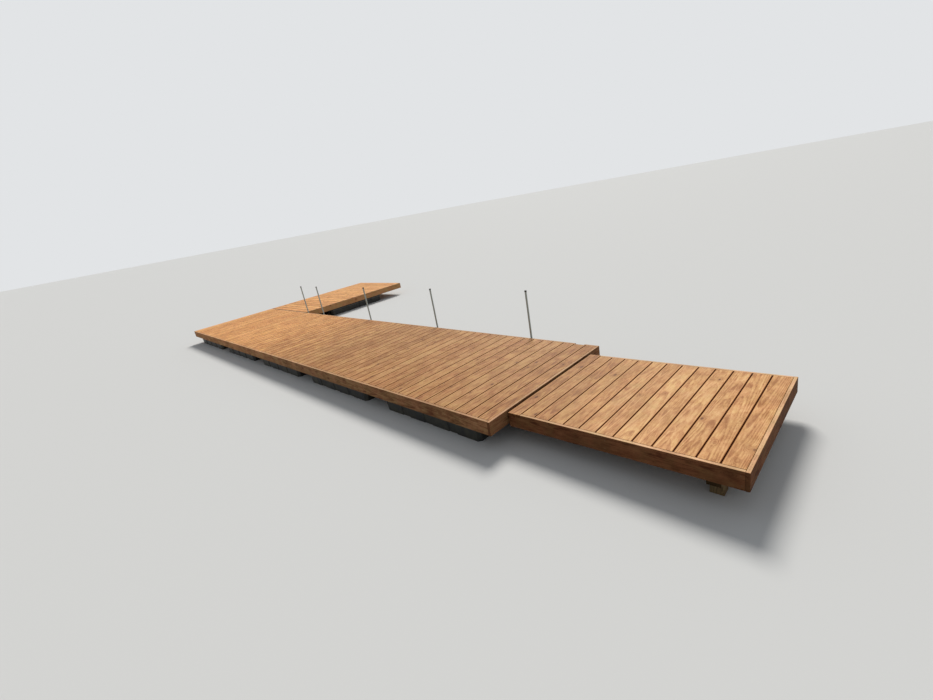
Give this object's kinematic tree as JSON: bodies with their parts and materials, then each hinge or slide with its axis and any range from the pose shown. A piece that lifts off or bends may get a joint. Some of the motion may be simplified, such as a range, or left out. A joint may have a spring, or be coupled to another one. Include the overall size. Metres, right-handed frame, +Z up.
{
  "type": "floating dock",
  "caption": "L-shaped timber floating dock with a hinged gangway to the shore, carried on plastic floats and held by steel guide poles that it slides up and down on.",
  "frame": {"origin": "middle of the bounding box, on the level that the floats, posts and poles stand on", "axes": "+X along the dock towards the shore, +Y the way the arm goes off, +Z up"},
  "size_m": [12.2898, 5.127, 0.987],
  "materials": {
    "decking": "oiled",
    "fascia_timber": "oiled",
    "framing_timber": "sawn",
    "float_plastic": "matte",
    "galvanised_steel": "hot-dip galvanised",
    "stainless_pin": "satin",
    "black_plastic": "satin"
  },
  "bodies": {
    "platform": {"deck_bay_1": "decking", "deck_bay_2": "decking", "deck_bay_3": "decking", "deck_bay_4": "decking", "deck_bay_5": "decking", "arm_deck": "decking", "near_fascia": "fascia_timber", "far_fascia": "fascia_timber", "lake_end_fascia": "fascia_timber", "shore_end_fascia": "fascia_timber", "arm_outer_fascia": "fascia_timber", "arm_inner_fascia": "fascia_timber", "arm_joint_fascia": "fascia_timber", "arm_end_fascia": "fascia_timber", "main_joists": "framing_timber", "main_noggings": "framing_timber", "arm_joists": "framing_timber", "arm_noggings": "framing_timber", "near_floats": "float_plastic", "far_floats": "float_plastic", "arm_floats": "float_plastic", "arm_connectors": "galvanised_steel", "pole_guides": "galvanised_steel", "guide_liners": "black_plastic", "platform_hinge_leaves": "galvanised_steel", "hinge_pins": "stainless_pin"},
    "gangway": {"gangway_deck": "decking", "gangway_near_fascia": "fascia_timber", "gangway_far_fascia": "fascia_timber", "gangway_shore_fascia": "fascia_timber", "gangway_hinge_fascia": "fascia_timber", "gangway_joists": "framing_timber", "gangway_noggings": "framing_timber", "gangway_hinge_leaves": "galvanised_steel", "gangway_bearer": "framing_timber", "gangway_posts": "framing_timber"},
    "guide_poles": {"pole_1": "galvanised_steel", "pole_2": "galvanised_steel", "pole_3": "galvanised_steel", "pole_4": "galvanised_steel", "pole_5": "galvanised_steel", "pole_caps": "black_plastic"}
  },
  "joints": [
    {"name": "gangway_hinge", "type": "hinge", "parent": "platform", "child": "gangway", "pos_m": [4.1686, -1.5315, 0.243], "axis": [0, 1, 0], "range_deg": [-7, 7]},
    {"name": "pole_slide", "type": "slide", "parent": "platform", "child": "guide_poles", "axis": [0, 0, 1], "range_m": [-0.5, 0.2]}
  ]
}
